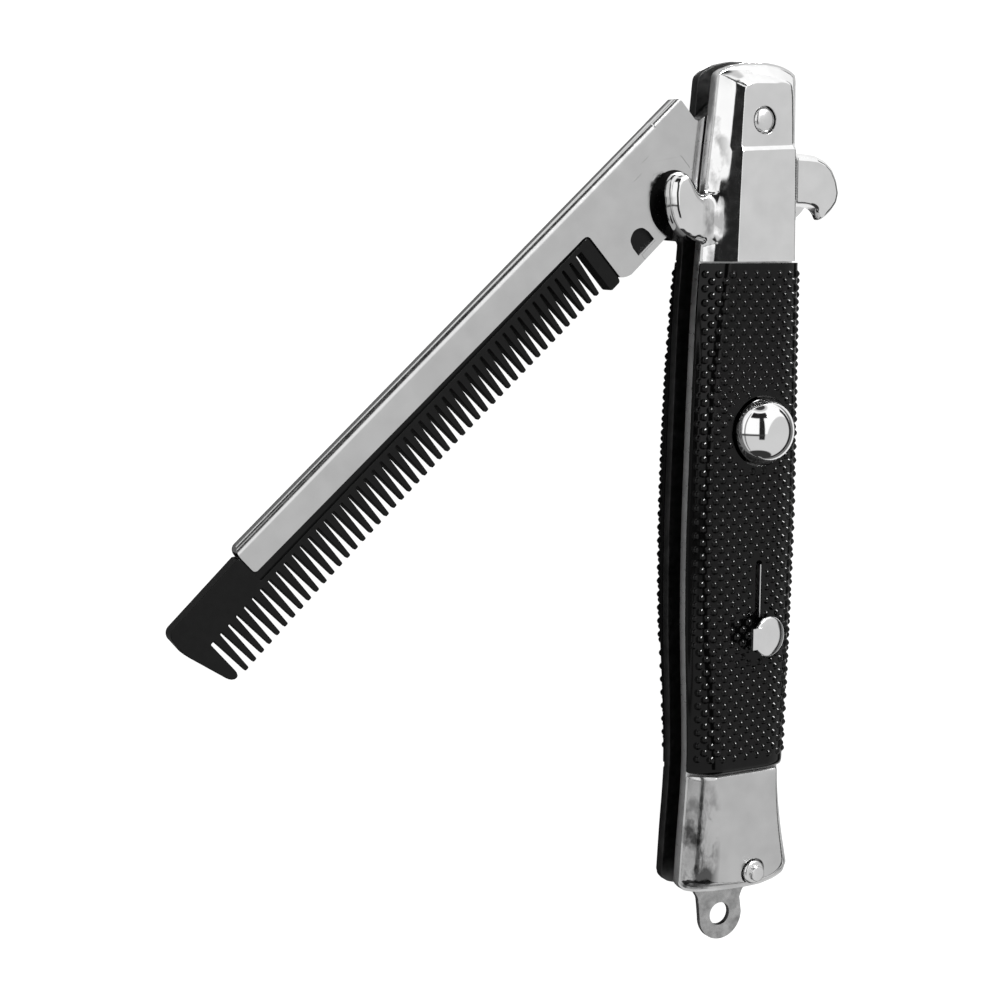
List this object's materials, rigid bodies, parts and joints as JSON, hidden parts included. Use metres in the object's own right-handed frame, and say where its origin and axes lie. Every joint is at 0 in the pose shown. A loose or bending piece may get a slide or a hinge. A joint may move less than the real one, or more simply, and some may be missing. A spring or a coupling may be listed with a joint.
{
  "type": "folding comb",
  "caption": "Pocket comb that folds out of a push-button handle with chrome bolsters, upswept and downswept wings, bumpy black grips and a cord ring.",
  "frame": {"origin": "middle of the flat crown of the rear grip, which the closed handle rests on, level with the middle of the handle's length", "axes": "+X to the right of the handle's front, +Y along the handle towards the pivot end, +Z out of the front face with the push button"},
  "size_m": [0.1069, 0.138, 0.0189],
  "materials": {
    "liner_steel": "sheared sheet, satin",
    "grip_plastic": "glossy with small raised bumps",
    "bolster_chrome": "bright plated, lightly scratched",
    "rivet_steel": "bright",
    "tab_steel": "scratched sheet",
    "button_chrome": "polished",
    "knob_chrome": "polished",
    "channel_steel": "smooth satin sheet",
    "teeth_plastic": "semi-matte",
    "spacer_steel": "plain"
  },
  "bodies": {
    "handle": {"liner_front": "liner_steel", "liner_rear": "liner_steel", "grip_front": "grip_plastic", "grip_rear": "grip_plastic", "bolster_top_front": "bolster_chrome", "bolster_top_rear": "bolster_chrome", "bolster_bottom_front": "bolster_chrome", "bolster_bottom_rear": "bolster_chrome", "pivot_pin": "rivet_steel", "end_rivet": "rivet_steel", "ring_tab": "tab_steel", "back_spacer": "spacer_steel"},
    "comb": {"comb_channel": "channel_steel", "comb_teeth": "teeth_plastic"},
    "button": {"push_button": "button_chrome"},
    "safety": {"safety_slider": "knob_chrome"}
  },
  "joints": [
    {"name": "comb_turn", "type": "hinge", "parent": "handle", "child": "comb", "pos_m": [0, 0.056, 0.00735], "axis": [0, 0, 1], "range_deg": [-132, 47.8]},
    {"name": "button_press", "type": "slide", "parent": "handle", "child": "button", "axis": [0, 0, -1], "range_m": [0, 0.0012], "stiffness_N_per_m": 2000},
    {"name": "safety_slide", "type": "slide", "parent": "handle", "child": "safety", "axis": [0, 1, 0], "range_m": [0, 0.009]}
  ]
}
